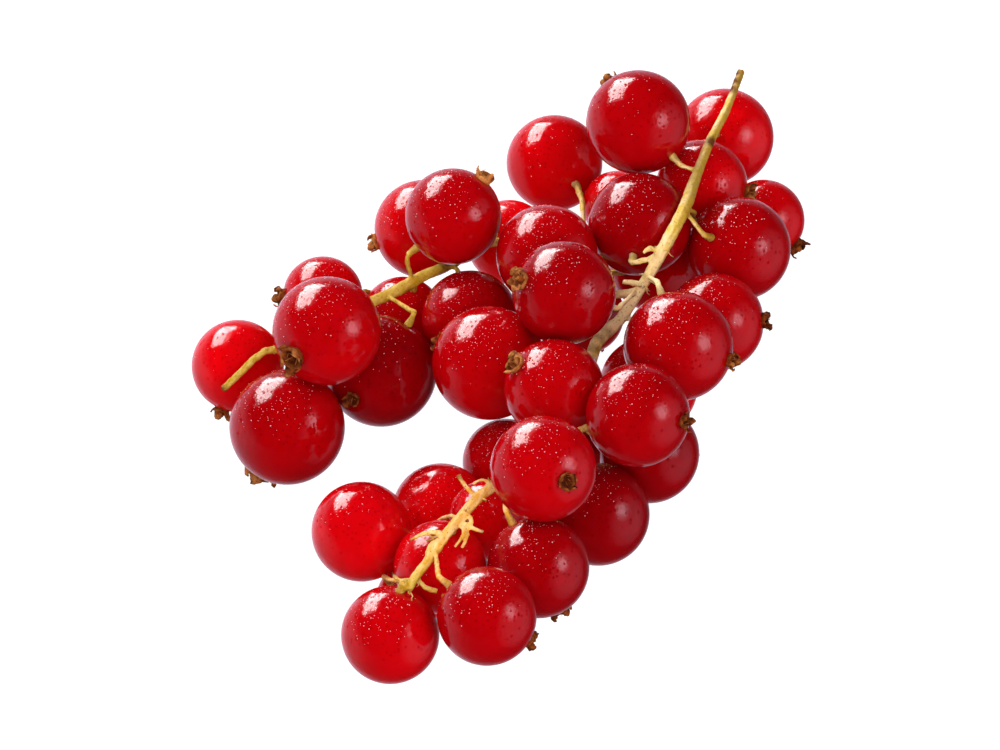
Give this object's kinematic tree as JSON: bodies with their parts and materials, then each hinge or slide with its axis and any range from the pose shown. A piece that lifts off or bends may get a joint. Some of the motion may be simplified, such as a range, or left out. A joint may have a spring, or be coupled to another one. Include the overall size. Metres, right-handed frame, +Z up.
{
  "type": "sprig of redcurrants",
  "caption": "Picked sprig of redcurrants lying loose: glossy round berries heaped on a bent woody stem with a side branch, each on a thin stalk and tipped with a dried flower.",
  "frame": {"origin": "on the surface that the sprig lies on, under the middle of its bounding box", "axes": "+Z up from the surface; +Y towards the picked end of the main stem, along the sprig's length; +X to the side of the main stem away from the side branch"},
  "size_m": [0.0624, 0.0814, 0.0277],
  "materials": {
    "berry_skin": "thin, tight, glossy skin over translucent red flesh, with fine droplets of water on it",
    "stem_wood": "green to straw-coloured woody stem and stalks; the dried flowers are dark brown and fibrous"
  },
  "bodies": {
    "root": {"berry_01": "berry_skin", "berry_02": "berry_skin", "berry_03": "berry_skin", "berry_04": "berry_skin", "berry_05": "berry_skin", "berry_06": "berry_skin", "berry_07": "berry_skin", "berry_08": "berry_skin", "berry_09": "berry_skin", "berry_10": "berry_skin", "berry_11": "berry_skin", "berry_12": "berry_skin", "berry_13": "berry_skin", "berry_14": "berry_skin", "berry_15": "berry_skin", "berry_16": "berry_skin", "berry_17": "berry_skin", "berry_18": "berry_skin", "berry_19": "berry_skin", "berry_20": "berry_skin", "berry_21": "berry_skin", "berry_22": "berry_skin", "berry_23": "berry_skin", "berry_24": "berry_skin", "berry_25": "berry_skin", "berry_26": "berry_skin", "berry_27": "berry_skin", "berry_28": "berry_skin", "berry_29": "berry_skin", "berry_30": "berry_skin", "berry_31": "berry_skin", "berry_32": "berry_skin", "berry_33": "berry_skin", "berry_34": "berry_skin", "berry_35": "berry_skin", "berry_36": "berry_skin", "berry_37": "berry_skin", "berry_38": "berry_skin", "berry_39": "berry_skin", "berry_40": "berry_skin", "berry_41": "berry_skin", "stem": "stem_wood"}
  },
  "joints": []
}
